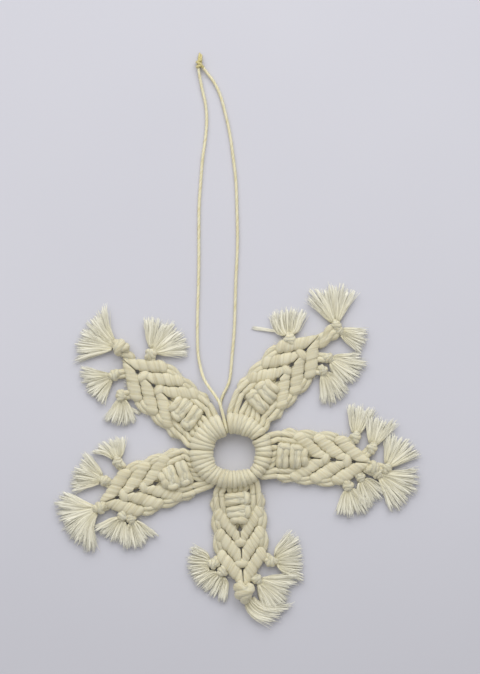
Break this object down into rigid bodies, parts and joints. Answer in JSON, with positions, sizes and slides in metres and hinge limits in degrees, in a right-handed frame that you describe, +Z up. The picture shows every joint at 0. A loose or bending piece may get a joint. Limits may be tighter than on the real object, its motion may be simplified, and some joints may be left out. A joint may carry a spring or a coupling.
{
  "type": "macrame snowflake",
  "caption": "Hand-knotted cotton macrame snowflake: cord hitches cover a small ring, chevron-knotted arms end in frayed tassels, and a thin thread loop hangs it.",
  "frame": {"origin": "on the surface that it lies on, under the middle of the snowflake without its thread", "axes": "+Z up from the surface, the side with the rows of knots facing up; +Y toward the hanging loop; +X to the right as seen from above"},
  "size_m": [0.1344, 0.2112, 0.0072],
  "materials": {
    "cotton_cord": "matte, undyed cotton cord with fine yarn lines",
    "core_cord": "matte, undyed cotton cord",
    "hanging_thread": "soft sheen, pale gold twisted thread"
  },
  "bodies": {
    "ring": {"core_ring": "core_cord", "upper_right_ring_hitches": "cotton_cord", "upper_left_ring_hitches": "cotton_cord", "left_ring_hitches": "cotton_cord", "lower_ring_hitches": "cotton_cord", "right_ring_hitches": "cotton_cord"},
    "upper_right_arm": {"upper_right_chevron_row_1": "cotton_cord", "upper_right_chevron_row_2": "cotton_cord", "upper_right_chevron_row_3": "cotton_cord", "upper_right_square_knots": "cotton_cord", "upper_right_tassel_end": "cotton_cord", "upper_right_tassel_end_side": "cotton_cord", "upper_right_tassel_lower_side": "cotton_cord", "upper_right_tassel_middle_side": "cotton_cord", "upper_right_tassel_upper_side": "cotton_cord"},
    "upper_left_arm": {"upper_left_chevron_row_1": "cotton_cord", "upper_left_chevron_row_2": "cotton_cord", "upper_left_chevron_row_3": "cotton_cord", "upper_left_square_knots": "cotton_cord", "upper_left_tassel_end": "cotton_cord", "upper_left_tassel_lower_end_side": "cotton_cord", "upper_left_tassel_lower_side": "cotton_cord", "upper_left_tassel_upper_side": "cotton_cord"},
    "left_arm": {"left_chevron_row_1": "cotton_cord", "left_chevron_row_2": "cotton_cord", "left_chevron_row_3": "cotton_cord", "left_square_knots": "cotton_cord", "left_tassel_end": "cotton_cord", "left_tassel_lower_end_side": "cotton_cord", "left_tassel_lower_side": "cotton_cord", "left_tassel_upper_end_side": "cotton_cord", "left_tassel_upper_side": "cotton_cord"},
    "lower_arm": {"lower_chevron_row_1": "cotton_cord", "lower_chevron_row_2": "cotton_cord", "lower_chevron_row_3": "cotton_cord", "lower_square_knots": "cotton_cord", "lower_tassel_end": "cotton_cord", "lower_tassel_left_end_side": "cotton_cord", "lower_tassel_left_side": "cotton_cord", "lower_tassel_right_end_side": "cotton_cord", "lower_tassel_right_side": "cotton_cord"},
    "right_arm": {"right_chevron_row_1": "cotton_cord", "right_chevron_row_2": "cotton_cord", "right_chevron_row_3": "cotton_cord", "right_square_knots": "cotton_cord", "right_tassel_lower_end": "cotton_cord", "right_tassel_lower_end_side": "cotton_cord", "right_tassel_lower_side": "cotton_cord", "right_tassel_upper_end": "cotton_cord", "right_tassel_upper_end_side": "cotton_cord", "right_tassel_upper_side": "cotton_cord"},
    "hanger": {"hanger_bight": "hanging_thread", "hanger_knot": "hanging_thread", "hanger_thread_left": "hanging_thread", "hanger_thread_right": "hanging_thread"}
  },
  "joints": [
    {"name": "upper_right_arm_fold", "type": "hinge", "parent": "ring", "child": "upper_right_arm", "pos_m": [0.00493, 0.01705, 0.0027], "axis": [0.7325, -0.6807, 0], "range_deg": [-25, 35]},
    {"name": "upper_left_arm_fold", "type": "hinge", "parent": "ring", "child": "upper_left_arm", "pos_m": [-0.01506, 0.0113, 0.0027], "axis": [0.6494, 0.7604, 0], "range_deg": [-25, 35]},
    {"name": "left_arm_fold", "type": "hinge", "parent": "ring", "child": "left_arm", "pos_m": [-0.01745, -0.00605, 0.0027], "axis": [-0.3453, 0.9385, 0], "range_deg": [-25, 35]},
    {"name": "lower_arm_fold", "type": "hinge", "parent": "ring", "child": "lower_arm", "pos_m": [-0.00057, -0.01362, 0.0027], "axis": [-0.9976, -0.0698, 0], "range_deg": [-25, 35]},
    {"name": "right_arm_fold", "type": "hinge", "parent": "ring", "child": "right_arm", "pos_m": [0.01347, -0.00029, 0.0027], "axis": [-0.0889, -0.996, 0], "range_deg": [-25, 35]},
    {"name": "hanger_swing", "type": "hinge", "parent": "ring", "child": "hanger", "pos_m": [-0.00477, 0.01062, 0.0035], "axis": [0.9681, 0.2504, 0], "range_deg": [-100, 100]}
  ]
}
